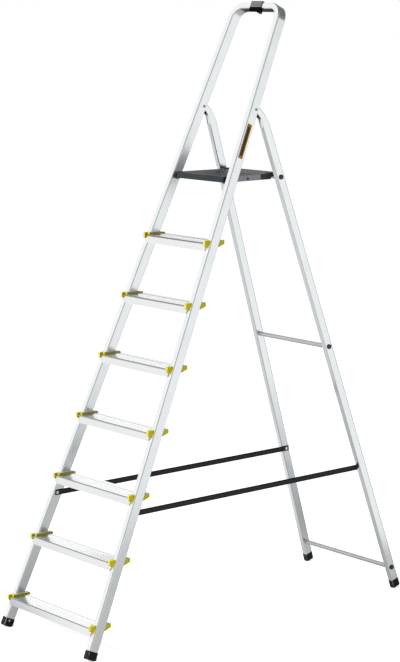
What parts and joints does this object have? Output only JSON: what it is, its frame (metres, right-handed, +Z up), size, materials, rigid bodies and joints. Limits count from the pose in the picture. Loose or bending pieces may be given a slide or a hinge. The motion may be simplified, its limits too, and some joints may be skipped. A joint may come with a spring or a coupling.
{
  "type": "stepladder",
  "caption": "Single-sided aluminium platform stepladder: bent-tube hoop with handrail, ribbed treads in moulded end caps, folding platform and hinged rear legs.",
  "frame": {"origin": "on the floor, in the middle of the footprint", "axes": "+Z up, the climbing side faces -Y, +X to the climber's right"},
  "size_m": [0.5348, 1.4626, 2.1976],
  "materials": {
    "tube_aluminium": "satin",
    "tread_aluminium": "satin, ribbed",
    "cap_yellow": "moulded, semi-gloss",
    "platform_plastic": "moulded, fine grain",
    "black_plastic": "moulded",
    "clip_plastic": "moulded",
    "foot_rubber": "semi-gloss",
    "strap_webbing": "woven",
    "label_film": "printed film, plain",
    "zinc_steel": "zinc plated"
  },
  "bodies": {
    "front_frame": {"bow_clip": "clip_plastic", "clip_hook": "black_plastic", "front_foot_left": "foot_rubber", "front_foot_right": "foot_rubber", "front_foot_rivets": "zinc_steel", "front_hoop": "tube_aluminium", "limit_strap_left": "strap_webbing", "limit_strap_right": "strap_webbing", "pivot_rivet_left": "zinc_steel", "pivot_rivet_right": "zinc_steel", "platform_bush_left": "black_plastic", "platform_bush_right": "black_plastic", "side_label": "label_film", "strap_rivets_front": "zinc_steel", "strap_washers_front": "zinc_steel", "tread_1": "tread_aluminium", "tread_2": "tread_aluminium", "tread_3": "tread_aluminium", "tread_4": "tread_aluminium", "tread_5": "tread_aluminium", "tread_6": "tread_aluminium", "tread_7": "tread_aluminium", "tread_cap_left_1": "cap_yellow", "tread_cap_left_2": "cap_yellow", "tread_cap_left_3": "cap_yellow", "tread_cap_left_4": "cap_yellow", "tread_cap_left_5": "cap_yellow", "tread_cap_left_6": "cap_yellow", "tread_cap_left_7": "cap_yellow", "tread_cap_right_1": "cap_yellow", "tread_cap_right_2": "cap_yellow", "tread_cap_right_3": "cap_yellow", "tread_cap_right_4": "cap_yellow", "tread_cap_right_5": "cap_yellow", "tread_cap_right_6": "cap_yellow", "tread_cap_right_7": "cap_yellow", "tread_rivets": "zinc_steel"},
    "rear_frame": {"bar_plugs": "black_plastic", "lower_bar": "tube_aluminium", "middle_bar": "tube_aluminium", "platform_axle": "tube_aluminium", "rear_foot_left": "foot_rubber", "rear_foot_right": "foot_rubber", "rear_leg_left": "tube_aluminium", "rear_leg_right": "tube_aluminium", "strap_rivets_rear": "zinc_steel", "strap_washers_rear": "zinc_steel"},
    "platform": {"platform_hook_left": "platform_plastic", "platform_hook_right": "platform_plastic", "platform_screws": "zinc_steel", "platform_tray": "platform_plastic", "hinge_pins": "zinc_steel"}
  },
  "joints": [
    {"name": "rear_fold", "type": "hinge", "parent": "front_frame", "child": "rear_frame", "pos_m": [0, 0.09937, 1.8215], "axis": [-1, 0, 0], "range_deg": [0, 38.5], "deforming": ["limit_strap_left", "limit_strap_right"]},
    {"name": "platform_lift", "type": "hinge", "parent": "front_frame", "child": "platform", "pos_m": [0, -0.02427, 1.5795], "axis": [1, 0, 0], "range_deg": [0, 65.5]}
  ],
  "couplings": [
    {"joint": "platform_lift", "follows": "rear_fold", "ratio": 1.7}
  ]
}
